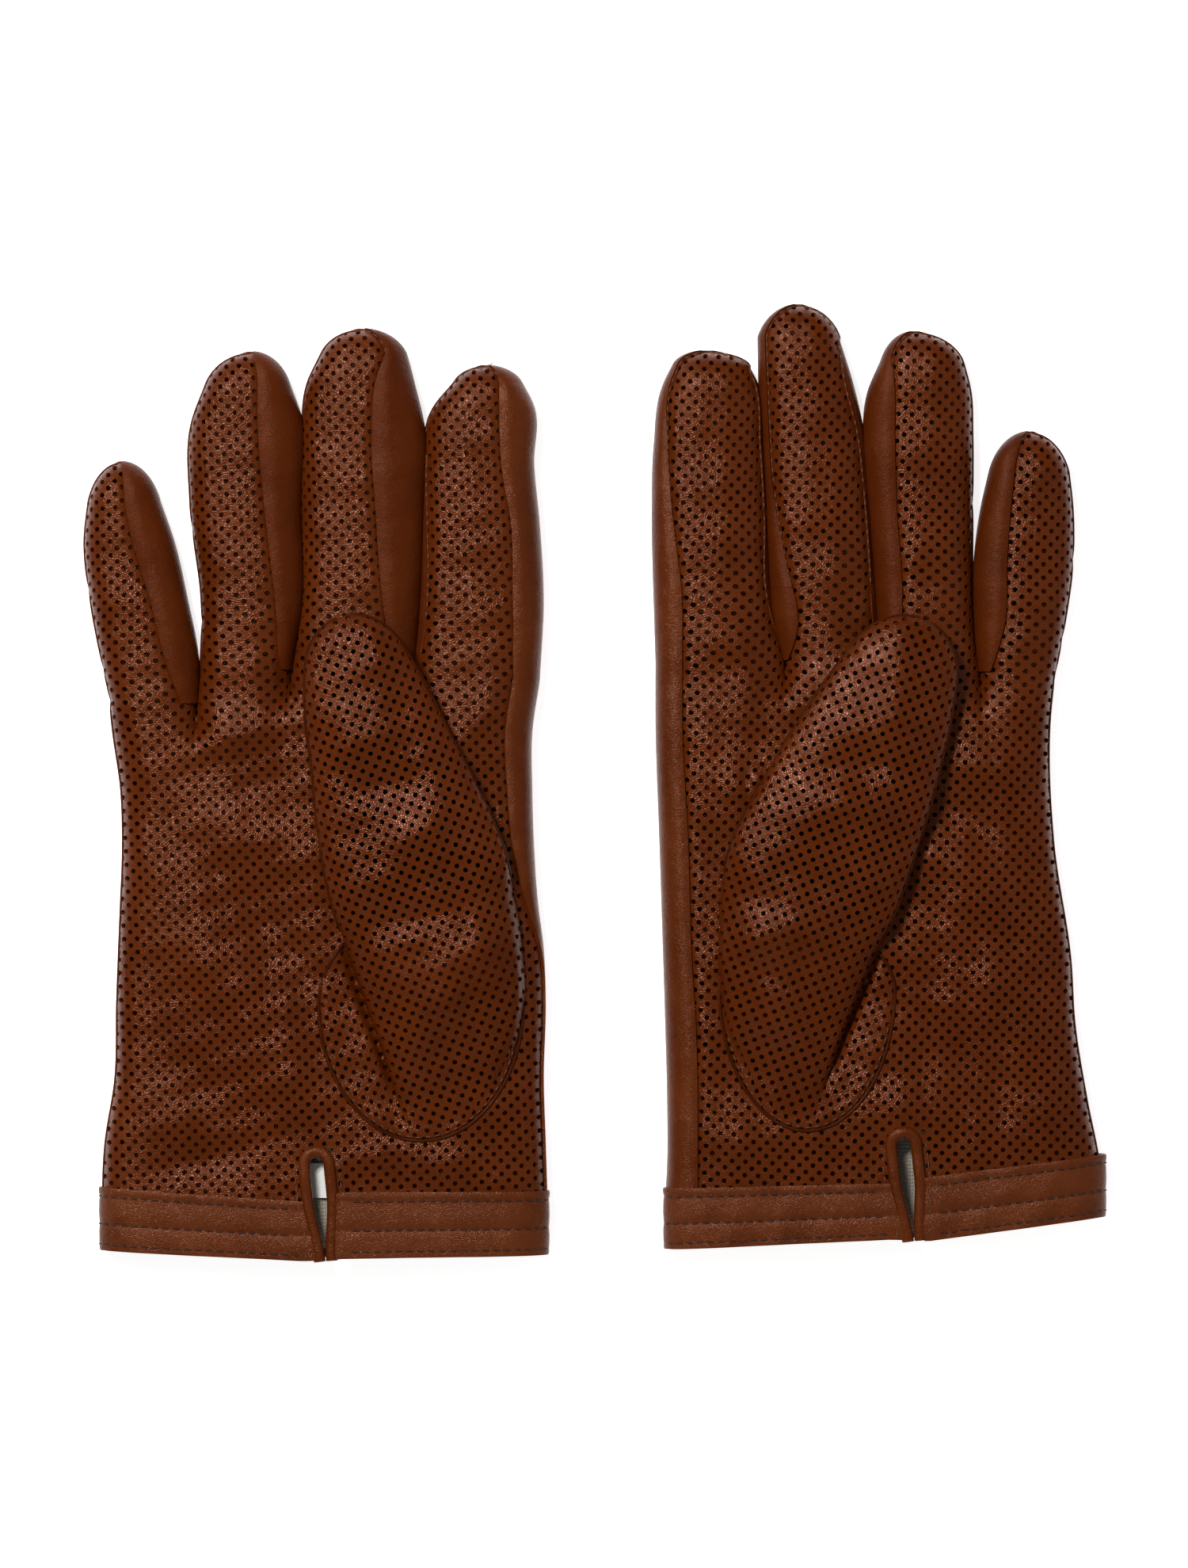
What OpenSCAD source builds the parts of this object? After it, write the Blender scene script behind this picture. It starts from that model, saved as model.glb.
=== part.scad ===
// A pair of leather gloves lying side by side on a table, palms up, hems towards -Y.
// The right-hand glove is on the -X side. Every outline is drawn in its own glove's frame:
// origin at the middle of the hem, +Y to the fingertips, +X to the thumb side.
// The left-hand glove is mirrored when it is placed, so both thumbs point to the middle.

/* [Leather] */
// Thickness of the glove leather
leather_t = 1; // [0.8:0.1:1.2]
// Thickness of the folded leather of the cuff band
band_t = 1.6; // [1.4:0.1:2]
// Thickness of the knitted lining
lining_t = 0.8; // [0.4:0.1:1]

/* [Heights] */
// Height of the flattened palm and fingers
body_h = 11; // [10:0.5:14]
// Height of the thumb that lies on the palm
thumb_h = 10; // [8:0.5:12]
// Air between the thumb and the palm below it
thumb_gap = 0.5; // [0.4:0.1:1]
// Height of the thumb's base above the palm at its lower end
base_low_h = 1.6; // [1.4:0.1:4]

/* [Joints] */
// Free space on each side of a bending line
joint_gap = 0.8; // [0.7:0.1:1]

/* [Wrist vent] */
// Width over the two rolled welts
vent_w = 10; // [9:0.5:12]
// Width of the slit between the welts
slit_w = 4; // [3:0.5:5]
// How far the welts stand above the palm
welt_rise = 0.8; // [0.4:0.1:1]
// Depth of the welts
welt_h = 2.8; // [2:0.1:3]

/* [Size label] */
// Length of the blank label on the lining
label_l = 24; // [16:1:30]
// Width of the label
label_w = 8; // [6:1:10]
// Thickness of the label
label_t = 0.4; // [0.3:0.1:0.6]

/* [Placement] */
// Distance between the two gloves, from hem middle to hem middle
glove_spacing = 144.5; // [140:0.5:200]
// How much further up the table the left glove lies
left_offset_y = 3.8; // [0:0.1:6]

/* [Hidden] */
SIDES = ["right", "left"];
FINGERS = ["index", "middle", "ring", "little"];
PALM_PIECES = ["palm_front", "palm_back", "fork_gussets", "cuff_band", "vent_binding", "lining",
    "thumb_base", "thumb", "thumb_tip"];
FINGER_PIECES = ["front", "back", "fourchettes", "tip", "tip_fourchettes"];

// Heights of the layers
front_low = body_h - leather_t;
lining_low = leather_t;
label_low = lining_low + lining_t;
band_top = front_low + band_t;
welt_low = body_h + welt_rise - welt_h;
thumb_low = body_h + thumb_gap;
thumb_top = thumb_low + thumb_h;

// A finger: [y, little-side x, thumb-side x] at its middle joint, its tip joint and its
// shoulder, then the point of its tip. Fingers run from the index to the little one.
right_fingers = [
    [[175, 24.2, 55.8], [202, 25.8, 54], [221, 28, 53], [42, 230.8]],
    [[176, -7, 22.8], [207, -6, 24.4], [228, -3.8, 22.4], [9, 240.7]],
    [[175, -32.6, -8.6], [203, -35.4, -7.6], [222, -32.8, -8.4], [-20, 234.3]],
    [[163, -59.5, -34.2], [184, -62.7, -40.4], [195, -61.8, -43.6], [-53, 206]]];
left_fingers = [
    [[176, 31, 59], [203, 31.8, 58.6], [219, 32.8, 57], [45, 231]],
    [[180, 1.8, 29.3], [212, 5.2, 30.4], [232, 8.6, 31], [20.6, 243]],
    [[178, -24, 0.6], [206, -23.6, 3.2], [225, -21.8, 1.2], [-10, 236.2]],
    [[167, -48.4, -25.4], [188, -49.5, -26], [199, -48.6, -28], [-39.4, 210]]];

// Bottoms of the forks between the fingers, from the index's to the little one's
right_forks = [[22.6, 150.3], [-9, 152.3], [-33.4, 143.5]];
left_forks = [[25, 151], [0.6, 158.8], [-25.6, 148]];

// Edges of the palm from above the band to the knuckles
right_little_edge = [[-57, 30], [-54, 46], [-54, 76], [-52.5, 112], [-55.5, 143]];
right_thumb_edge = [[56.6, 30], [56, 46], [56.6, 66], [53, 112], [52.8, 136], [55, 150]];
left_little_edge = [[-53, 37], [-49.8, 57], [-49, 73], [-44.3, 104], [-43.4, 134], [-44.8, 145]];
left_thumb_edge = [[55, 27], [55.4, 60], [57.2, 98], [58.2, 145]];

// Cuff band: [x, hem y, top y] from the little-side end to the thumb-side end.
// The two middle entries are the edges at the vent.
right_band = [[-57.8, 2, 18.4], [-5, -0.6, 14.8], [4.6, 0, 17.3], [58, 0.8, 17.4]];
left_band = [[-57.8, 7, 23.2], [-12, 0.8, 17.4], [-2, 1.2, 15.8], [56.6, -1.6, 14.3]];

// Wrist vent: x at the hem, y of its lower end, its length and its slant
right_vent = [0.4, -0.6, 29.8, 5.5];
left_vent = [-8.2, 0.8, 29.6, -6.3];

// Thumb: middle of its bending line, lean towards the little finger, half widths at that
// line, at the tip joint and at the shoulder, and the distance from that line to the tip
// joint, to the shoulder and to the tip
right_thumb = [[24.7, 98], 16.5, [23.4, 18, 14.4], [35.2, 56, 70.9]];
left_thumb = [[18.5, 94], 23.4, [23, 19.3, 15.8], [37.5, 58, 73.5]];

// Rounded seam of the thumb's base: middle of its curve, half width and depth
right_base = [[25, 66], 26.5, 35.5];
left_base = [[19.5, 66], 22.7, 36.7];
// How far the hole in the palm stays inside the seam and short of the bending line
hole_inset = 3;
hole_setback = 6;
// The base keeps its height this far below the bending line and falls off until the second
base_flat_l = 24;
base_end_l = 64;

// Free space between the cuff band and the lining, and where the lining ends at the forks
lining_setback = 0.5;
lining_end = 138;
// Middle and lower edge of the label
label_shift = -2;
label_rise = 19;
// Angle between the points of a round end
round_step = 15;
// How far a cut runs past what it cuts
past = 10;

function is_right(side) = side == "right";
function pick(side, right_value, left_value) = is_right(side) ? right_value : left_value;
function finger(side, i) = pick(side, right_fingers, left_fingers)[i];
function forks(side) = pick(side, right_forks, left_forks);
function band(side) = pick(side, right_band, left_band);
function vent(side) = pick(side, right_vent, left_vent);
function thumb_of(side) = pick(side, right_thumb, left_thumb);
function base_of(side) = pick(side, right_base, left_base);
function little_edge(side) = pick(side, right_little_edge, left_little_edge);
function thumb_edge(side) = pick(side, right_thumb_edge, left_thumb_edge);
function reversed(points) = [for (i = [len(points) - 1 : -1 : 0]) points[i]];
function shifted(points, dx) = [for (p = points) [p[0] + dx, p[1]]];

// Half of an ellipse from one side over its end to the other: x runs from low to high
function round_end(x_low, x_high, y, end, inset = 0) =
    let (mid = (x_low + x_high) / 2, half = (x_high - x_low) / 2 - inset, rise = end[1] - y - inset)
    [for (a = [180 : -round_step : 0])
        [mid + half * cos(a) + (end[0] - mid) * sin(a), y + rise * sin(a)]];

// A point of the thumb's bending line: u along it and v beyond it, towards the thumb's tip
function thumb_point(side, u, v) =
    let (c = thumb_of(side)[0], lean = thumb_of(side)[1])
    [c[0] + u * cos(lean) - v * sin(lean), c[1] + u * sin(lean) + v * cos(lean)];

// Where the stub of each finger ends, just short of the middle joint
function stub_end(side, i) =
    let (row = finger(side, i)[0]) [[row[1], row[0] - joint_gap], [row[2], row[0] - joint_gap]];

function little_side_line(side) = concat(
    [[band(side)[0][0], band(side)[0][2]]], little_edge(side), [stub_end(side, 3)[0]]);
function thumb_side_line(side) = concat(
    [[band(side)[3][0], band(side)[3][2]]], thumb_edge(side), [stub_end(side, 0)[1]]);
function palm_outline(side) = concat(
    little_side_line(side), [stub_end(side, 3)[1]],
    [forks(side)[2]], stub_end(side, 2),
    [forks(side)[1]], stub_end(side, 1),
    [forks(side)[0]], [stub_end(side, 0)[0]],
    reversed(thumb_side_line(side)),
    [[band(side)[2][0], band(side)[2][2]], [band(side)[1][0], band(side)[1][2]]]);

// Outline of the thumb's base, drawn in by inset and ending setback short of the bending line
function base_outline(side, inset, setback) =
    let (b = base_of(side), half = thumb_of(side)[2][0] - inset)
    concat([thumb_point(side, -half, -setback)],
        [for (a = [180 : round_step : 360])
            b[0] + [(b[1] - inset) * cos(a), (b[2] - inset) * sin(a)]],
        [thumb_point(side, half, -setback)]);

module slab(points, low, high) {
    translate([0, 0, low]) linear_extrude(high - low) polygon(points);
}

// A wall of the leather's thickness along a line of points
module side_wall(line, thickness) {
    slab(concat(line, reversed(shifted(line, thickness))), leather_t, front_low);
}

// Places of the two gloves, with the pair's footprint centred on the origin
right_reach = 62.7;
left_reach = 57.8;
pair_low = right_vent[1] - vent_w / 2 * sin(right_vent[3]);
pair_high = left_fingers[1][3][1] + left_offset_y;
right_x = (right_reach - left_reach - glove_spacing) / 2;
left_x = right_x + glove_spacing;
right_y = -(pair_low + pair_high) / 2;
left_y = right_y + left_offset_y;

module place(side) {
    if (is_right(side)) translate([right_x, right_y, 0]) children();
    else translate([left_x, left_y, 0]) mirror([1, 0, 0]) children();
}

// Frame of the wrist vent, at its lower end
module at_vent(side) {
    translate([vent(side)[0], vent(side)[1], 0]) rotate([0, 0, vent(side)[3]]) children();
}

// An upright gap with a round upper end, from below the hem to the given length
module vent_gap(side, width, length, low, high) {
    at_vent(side) {
        translate([-width / 2, -past, low]) cube([width, past + length - width / 2, high - low]);
        translate([0, length - width / 2, low]) cylinder(d = width, h = high - low, $fn = 32);
    }
}

// Frame of the thumb, at the middle of its bending line
module at_thumb(side) {
    c = thumb_of(side)[0];
    translate([c[0], c[1], 0]) rotate([0, 0, thumb_of(side)[1]]) children();
}

// Perforated leather over the palm, with the hole that the thumb comes out of
module palm_front(side) {
    color("sienna") difference() {
        slab(palm_outline(side), front_low, body_h);
        slab(base_outline(side, hole_inset, hole_setback), 0, body_h + past);
        vent_gap(side, vent_w, vent(side)[2], 0, body_h + past);
    }
}

// Smooth leather of the back of the hand, wrapped up the two outer edges
module palm_back(side) {
    color("saddlebrown") {
        slab(palm_outline(side), 0, leather_t);
        side_wall(little_side_line(side), leather_t);
        side_wall(thumb_side_line(side), -leather_t);
    }
}

// The strips between the fingers where they run together at the bottom of each fork
module fork_gussets(side) {
    color("peru") for (i = [0 : 2]) {
        a = stub_end(side, i + 1)[1];
        b = stub_end(side, i)[0];
        c = forks(side)[i];
        t = leather_t;
        slab([a, c, b, b + [t, 0], c + [t, -t], c - [t, t], a - [t, 0]], t, front_low);
    }
}

// Folded band round the wrist, open at the vent
module cuff_band(side) {
    b = band(side);
    color("brown") difference() {
        slab(concat([for (p = b) [p[0], p[1]]], [for (i = [3 : -1 : 0]) [b[i][0], b[i][2]]]),
            0, band_top);
        translate([b[0][0] + band_t, -past, band_t])
            cube([b[3][0] - b[0][0] - 2 * band_t, 4 * past, front_low - band_t]);
        vent_gap(side, vent_w, vent(side)[2], front_low - leather_t, band_top + past);
    }
}

// Rolled welt round the wrist vent; its two legs nearly meet at the hem
module vent_binding(side) {
    length = vent(side)[2];
    slit_end = length - vent_w / 2;
    color("chocolate") difference() {
        intersection() {
            vent_gap(side, vent_w, length, welt_low, welt_low + welt_h);
            at_vent(side) translate([-vent_w, 0, 0]) cube([2 * vent_w, length + past, 3 * body_h]);
        }
        at_vent(side) {
            slab([[-0.3, -1], [0.3, -1], [slit_w / 2, slit_end / 2], [slit_w / 2, slit_end],
                [-slit_w / 2, slit_end], [-slit_w / 2, slit_end / 2]], 0, 2 * body_h);
            translate([0, slit_end, 0]) cylinder(d = slit_w, h = 2 * body_h, $fn = 32);
        }
    }
}

// Knitted lining on the inside of the back of the hand, from the band to the knuckles
module lining(side) {
    inset = 1.6 * leather_t;
    tops = [for (p = band(side)) [p[0], p[2] + lining_setback]];
    color("tan") intersection() {
        slab(concat(shifted(concat([tops[0]], little_edge(side)), inset),
            reversed(shifted(concat([tops[3]], thumb_edge(side)), -inset)), [tops[2], tops[1]]),
            lining_low, label_low);
        translate([-100, 0, 0]) cube([200, lining_end, body_h]);
    }
}

// Blank label sewn on the lining behind the vent
module label() {
    color("ivory") translate([label_shift - label_l / 2, label_rise, label_low])
        cube([label_l, label_w, label_t]);
}

// Side view of the thumb's base, v along the thumb and z upwards, lowered by drop
module base_profile(side, drop) {
    low = body_h + base_low_h - drop;
    at_thumb(side) rotate([90, 0, 90]) translate([0, 0, -100]) linear_extrude(200)
        polygon([[past, 0], [past, thumb_top - drop], [-base_flat_l, thumb_top - drop],
            [-base_end_l, low], [-base_end_l - 2 * past, low], [-base_end_l - 2 * past, 0]]);
}

// Perforated mound that joins the thumb to the palm, hollow and open at both ends
module thumb_base(side) {
    color("sienna") difference() {
        intersection() {
            slab(base_outline(side, 0, joint_gap), body_h, thumb_top);
            base_profile(side, 0);
        }
        intersection() {
            slab(base_outline(side, leather_t, -past), 0, thumb_top);
            base_profile(side, leather_t);
        }
    }
}

// Flat tube of the thumb between its bending line and its tip joint
module thumb(side) {
    half = thumb_of(side)[2];
    end = thumb_of(side)[3][0];
    t = leather_t;
    color("sienna") at_thumb(side) difference() {
        slab([[-half[0], joint_gap], [half[0], joint_gap],
            [half[1], end - joint_gap], [-half[1], end - joint_gap]], thumb_low, thumb_top);
        slab([[-half[0] + t, 0], [half[0] - t, 0], [half[1] - t, end], [-half[1] + t, end]],
            thumb_low + t, thumb_top - t);
    }
}

// Rounded end of the thumb
module thumb_tip(side) {
    half = thumb_of(side)[2];
    reach = thumb_of(side)[3];
    t = leather_t;
    color("sienna") at_thumb(side) difference() {
        slab(concat([[-half[1], reach[0] + joint_gap]],
            round_end(-half[2], half[2], reach[1], [0, reach[2]]),
            [[half[1], reach[0] + joint_gap]]), thumb_low, thumb_top);
        slab(concat([[-half[1] + t, reach[0]]],
            round_end(-half[2], half[2], reach[1], [0, reach[2]], t),
            [[half[1] - t, reach[0]]]), thumb_low + t, thumb_top - t);
    }
}

// The four corners of a finger between two of its rows, short of the joints by the gaps
function segment(low_row, high_row, low_gap, high_gap) = [
    [low_row[1], low_row[0] + low_gap], [high_row[1], high_row[0] - high_gap],
    [high_row[2], high_row[0] - high_gap], [low_row[2], low_row[0] + low_gap]];
function middle_segment(side, i) =
    segment(finger(side, i)[0], finger(side, i)[1], joint_gap, joint_gap);
function end_segment(side, i) = segment(finger(side, i)[1], finger(side, i)[2], joint_gap, 0);

// Only the sides that face another finger have a fourchette
function faces_little(i) = i < 3;
function faces_thumb(i) = i > 0;

// Strips between front and back: on the sides towards other fingers, or on the outer side
module segment_walls(corners, little_side, thumb_side) {
    if (little_side) side_wall([corners[0], corners[1]], leather_t);
    if (thumb_side) side_wall([corners[3], corners[2]], -leather_t);
}

module finger_front(side, i) {
    color("sienna") slab(middle_segment(side, i), front_low, body_h);
}

// The back of the index and little fingers wraps round their outer edge
module finger_back(side, i) {
    color("saddlebrown") {
        slab(middle_segment(side, i), 0, leather_t);
        segment_walls(middle_segment(side, i), !faces_little(i), !faces_thumb(i));
    }
}

module finger_fourchettes(side, i) {
    color("peru") segment_walls(middle_segment(side, i), faces_little(i), faces_thumb(i));
}

// Front and back of the last joint, sewn together round the rounded end
module finger_tip(side, i) {
    f = finger(side, i);
    s = end_segment(side, i);
    t = leather_t;
    // How far the hollow goes sideways: through a fourchette's place, or up to the leather
    little_cut = faces_little(i) ? -past : t;
    thumb_cut = faces_thumb(i) ? past : -t;
    color("sienna") difference() {
        slab(concat([s[0]], round_end(f[2][1], f[2][2], f[2][0], f[3]), [s[3]]), 0, body_h);
        slab(concat([[s[0][0] + little_cut, f[1][0]], [s[1][0] + little_cut, f[2][0]]],
            round_end(f[2][1], f[2][2], f[2][0], f[3], t),
            [[s[2][0] + thumb_cut, f[2][0]], [s[3][0] + thumb_cut, f[1][0]]]), t, front_low);
    }
}

module finger_tip_fourchettes(side, i) {
    color("peru") segment_walls(end_segment(side, i), faces_little(i), faces_thumb(i));
}

for (side = SIDES) place(side) {
    palm_front(side);
    palm_back(side);
    fork_gussets(side);
    cuff_band(side);
    vent_binding(side);
    lining(side);
    thumb_base(side);
    thumb(side);
    thumb_tip(side);
    for (i = [0 : len(FINGERS) - 1]) {
        name = str(side, "_", FINGERS[i]);
        finger_front(side, i);
        finger_back(side, i);
        finger_fourchettes(side, i);
        finger_tip(side, i);
        finger_tip_fourchettes(side, i);
    }
}
place("right") label();  // right_label
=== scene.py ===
import math
import bpy
import numpy as np
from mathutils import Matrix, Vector


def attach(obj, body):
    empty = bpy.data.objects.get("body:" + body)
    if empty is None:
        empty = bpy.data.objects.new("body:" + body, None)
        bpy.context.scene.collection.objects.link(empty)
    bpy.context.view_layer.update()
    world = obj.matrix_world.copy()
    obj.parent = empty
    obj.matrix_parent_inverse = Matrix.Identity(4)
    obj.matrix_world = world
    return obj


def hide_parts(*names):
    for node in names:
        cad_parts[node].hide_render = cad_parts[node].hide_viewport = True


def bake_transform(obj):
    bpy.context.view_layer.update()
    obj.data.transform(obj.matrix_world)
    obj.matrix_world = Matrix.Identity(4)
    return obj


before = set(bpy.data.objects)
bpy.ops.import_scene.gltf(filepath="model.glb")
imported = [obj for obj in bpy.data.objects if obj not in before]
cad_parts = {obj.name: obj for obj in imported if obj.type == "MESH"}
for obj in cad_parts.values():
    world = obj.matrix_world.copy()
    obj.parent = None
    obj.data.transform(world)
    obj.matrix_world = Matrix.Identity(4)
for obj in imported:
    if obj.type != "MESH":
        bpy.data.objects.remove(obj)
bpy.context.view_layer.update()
print("frame loaded")

# Everything is drawn in millimetres in each glove's own flat pattern: x runs to the
# thumb side, y to the fingertips, z up from the table. toRow turns that into metres.

leather = {"thick": 0.8, "belly": 0.4, "waist": 4.8, "crown": 11.0, "seamDip": 0.8, "seamWide": 0.9}
bend = {"reach": 9, "rootGap": 10}
seam = {"radius": 0.42, "sink": -0.12, "dashLift": 0.36}
sideStop = 0.9     # how far, in radians, a side strip ends before the middle of the back
holes = {"stepA": (1.845, -1.64), "stepB": (1.64, 1.845), "radius": 0.67}

gloves = {
    "right": {
        "flip": 1,
        "place": (-69.8, -122.86),
        # y, little edge, thumb edge, seam of the smooth edge strip
        "palm": [
            [-2, -57.5, 57.5, 57.5], [30, -57, 56.5, 56.5], [46, -54.5, 56, 56], [66, -54, 56.5, 56.5],
            [80, -53.5, 56, 55.5], [92, -53, 54.5, 52], [106, -52.5, 53.5, 49], [122, -53, 53, 47.5],
            [136, -55, 53, 47], [150, -56.5, 55, 49]],
        # y, low edge, low seam, high seam, high edge
        "fingers": {
            "little": {"tip": (-53, 206), "bends": (163, 184), "rows": [
                [143.5, -55.5, -55.5, -37, -33.4], [155, -58, -58, -41, -33.5],
                [171, -61, -61, -45, -36.5], [186, -62.5, -62.5, -49.5, -40],
                [196, -61.5, -61.5, -51.5, -43.5]]},
            "ring": {"tip": (-19, 234.5), "bends": (175, 203), "rows": [
                [143.5, -33.4, -33.4, -11, -9], [152, -32.5, -32.5, -11.5, -9],
                [169, -32, -32, -12.5, -6.5], [196, -35, -35, -15.5, -6.7],
                [217, -34.5, -34.5, -17, -6.5], [226.5, -31, -31, -17, -9.8]]},
            "middle": {"tip": (9.5, 240.5), "bends": (176, 207), "rows": [
                [150.5, -9, -9, 18, 22.5], [173, -6, -6, 15, 24.3], [193, -6.4, -6.4, 13.5, 25],
                [214, -6, -6, 12.5, 25.4], [227, -4.5, -4.5, 13.5, 22.5], [234.5, -1, -1, 16, 20.5]]},
            "index": {"tip": (41.5, 231), "bends": (175, 202), "rows": [
                [150.5, 22.5, 24, 49, 55], [170, 24.3, 26.6, 49, 56], [190, 25.1, 26.6, 48.5, 55],
                [206, 25.7, 26.4, 46, 53.5], [221, 28.5, 28.5, 45.5, 53.5],
                [227, 33.5, 33.5, 45.5, 50.5]]},
        },
        "forks": [(-33.4, 143.5), (-9, 152.3), (22.5, 150.5)],
        # along the thumb, low edge, high edge
        "thumb": {"hinge": (24.7, 98), "lean": 16.5, "tip": (0, 71), "bends": (0, 35.2),
                  "oval": (25, 66, 26.5, 35.5), "rows": [
            [-66, -20, -19], [-63, -21, -8], [-56, -21.5, 3], [-38, -22, 17], [-25, -22.8, 20.5],
            [-8, -23.4, 22.6], [0, -23.4, 23.2], [20, -21.5, 21], [35, -18.5, 18.2], [50, -16, 15.6],
            [60, -13, 13]]},
        "band": {"little": [[-58, 2, 18.4], [-5, -0.6, 14.8]],
                 "thumb": [[4.6, 0, 17.3], [58, 0.8, 17.4]]},
        "vent": {"foot": (0.4, -0.6), "length": 29.8, "slant": 5.5},
        # x, y, half length, half width, angle, height
        "folds": [
            [-28, 76, 26, 7, -50, 0.9], [-42, 100, 12, 6, -30, 0.6], [-20, 108, 20, 6, -20, 0.6],
            [-36, 50, 18, 6, -58, -0.6], [-8, 48, 16, 6, -60, 0.5], [-25, 137, 13, 5, 8, 0.7],
            [-12, 84, 18, 5, -55, -0.6], [36, 134, 16, 5, 60, 0.6], [44, 118, 14, 4, 70, -0.5],
            [-46, 128, 10, 5, -60, 0.5], [22, 26, 22, 5, -6, 0.5], [-30, 26, 20, 5, 10, -0.5],
            [44, 40, 12, 5, 40, 0.5], [5, 146, 10, 5, 20, 0.5]],
        "thumbFolds": [
            [-4, 40, 9, 7, 10, 0.7], [4, 12, 12, 5, 24, 0.8], [-6, -8, 12, 4, -18, -0.7],
            [8, -22, 14, 5, 20, 0.7], [-8, -36, 12, 5, 40, 0.5], [-2, 26, 10, 4, -24, -0.6],
            [4, 56, 8, 5, 0, 0.4]],
    },
    "left": {
        "flip": -1,
        "place": (74.7, -119.06),
        "palm": [
            [0, -57.5, 56.5, 48], [20, -56.5, 55, 48], [37, -53.2, 55, 48], [57, -50, 55.5, 48.5],
            [73, -49, 56, 49.5], [104, -44.5, 57, 50.5], [134, -43.5, 58, 52], [150, -45, 58, 52]],
        "fingers": {
            "little": {"tip": (-38.5, 210), "bends": (167, 188), "rows": [
                [147.5, -45, -45, -28, -25.6], [161, -47.5, -47.5, -31.5, -24.7],
                [176, -49.5, -49.5, -32, -24.6], [191, -49.5, -49.5, -33, -26.5],
                [200, -48.5, -48.5, -34, -28.5]]},
            "ring": {"tip": (-8.5, 236), "bends": (178, 206), "rows": [
                [148, -25.6, -25.6, -5, 0.6], [159, -24, -24, -5, 0.6], [168, -23.6, -23.6, -5, 1.1],
                [191, -23.5, -23.5, -3.5, 2.8], [210, -23.5, -23.5, -3, 4.2], [221, -23, -23, -3, 2.9],
                [229, -21, -21, -2.5, -0.5]]},
            "middle": {"tip": (21.5, 243), "bends": (180, 212), "rows": [
                [151, 0.6, 0.6, 24, 25], [160, 0.8, 2.2, 22, 27.3], [177, 1.9, 3.3, 25, 28.7],
                [196, 3.3, 4.8, 28, 29.6], [211, 4.6, 6.6, 29, 30.4], [222, 7, 9.5, 29.5, 31.2],
                [235, 11, 11.5, 30, 31.5]]},
            "index": {"tip": (45.5, 231), "bends": (176, 203), "rows": [
                [151, 25, 25, 52, 58], [166, 28.3, 29.6, 52, 58.5], [190, 29.5, 30.6, 54.5, 59],
                [207, 30.6, 31.6, 55.5, 58.5], [223, 32, 33, 54.5, 56], [228, 34.5, 35, 52.5, 53.5]]},
        },
        "forks": [(-25.6, 148), (0.6, 158.8), (25, 151)],
        "thumb": {"hinge": (18.5, 94), "lean": 23.4, "tip": (0, 73.5), "bends": (0, 37.5),
                  "oval": (19.5, 66, 22.7, 36.7), "rows": [
            [-61, -26, -24.5], [-57, -25, -13], [-48, -24.4, 0], [-35, -23.6, 10.6], [-20, -23.2, 17.5],
            [-8, -23, 21.5], [0, -23, 22.8], [20, -21.6, 21.6], [37.5, -19.3, 19.3], [50, -17, 17],
            [62, -14, 14]]},
        "band": {"little": [[-58, 7, 23.2], [-12, 0.8, 17.4]],
                 "thumb": [[-2, 1.2, 15.8], [56.8, -1.6, 14.3]]},
        "vent": {"foot": (-8.2, 0.8), "length": 29.6, "slant": -6.3},
        "folds": [
            [-26, 92, 16, 6, 40, 0.8], [-34, 60, 18, 6, 60, 0.7], [-18, 112, 16, 5, 30, -0.6],
            [-30, 122, 12, 5, 10, 0.6], [-40, 84, 12, 5, 60, -0.6], [-24, 46, 16, 5, 50, -0.6],
            [-6, 34, 14, 5, 20, 0.6], [40, 120, 18, 5, 60, 0.6], [36, 96, 12, 5, 50, -0.5],
            [10, 146, 12, 5, -10, 0.6], [30, 28, 18, 5, -8, 0.5], [-44, 36, 10, 5, 70, 0.5],
            [48, 60, 18, 4, 88, 0.4], [-10, 150, 9, 5, 0, 0.5], [32.6, 120, 1.8, 1.3, 60, 0.5],
            [35.4, 119.6, 1, 2.4, 0, -0.35]],
        "thumbFolds": [
            [-2, 46, 10, 7, 14, 0.8], [5, 20, 12, 5, -24, 0.7], [-6, 0, 12, 4, 22, -0.7],
            [6, -18, 14, 5, -20, 0.8], [-8, -34, 12, 5, 30, 0.6], [0, 32, 10, 4, -20, -0.6],
            [2, 60, 8, 5, 0, 0.5]],
    },
}
fingerOrder = ["little", "ring", "middle", "index"]


def ease(t):
    t = np.clip(t, 0, 1)
    return t * t * (3 - 2 * t)


def smoothCurve(stops, values, at):
    # a soft line through a few given stops
    stops = np.asarray(stops, float)
    values = np.asarray(values, float)
    slope = np.gradient(values, stops)
    at = np.clip(at, stops[0], stops[-1])
    i = np.clip(np.searchsorted(stops, at, side="right") - 1, 0, len(stops) - 2)
    step = stops[i + 1] - stops[i]
    t = (at - stops[i]) / step
    return ((2 * t**3 - 3 * t**2 + 1) * values[i] + (t**3 - 2 * t**2 + t) * step * slope[i]
            + (3 * t**2 - 2 * t**3) * values[i + 1] + (t**3 - t**2) * step * slope[i + 1])


def palmCurve(glove, column, y):
    # 1 is the little edge, 2 the thumb edge, 3 the seam of the smooth edge strip
    palm = np.array(glove["palm"], float)
    return smoothCurve(palm[:, 0], palm[:, column], y)


def tipShrink(t):
    # how a rounded end narrows, 1 at its root and 0 at its tip
    t = np.clip(t, 0, 0.9999)
    return np.sqrt(1 - ((t + 0.5) / 1.5)**2) / math.sqrt(1 - (0.5 / 1.5)**2)


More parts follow.
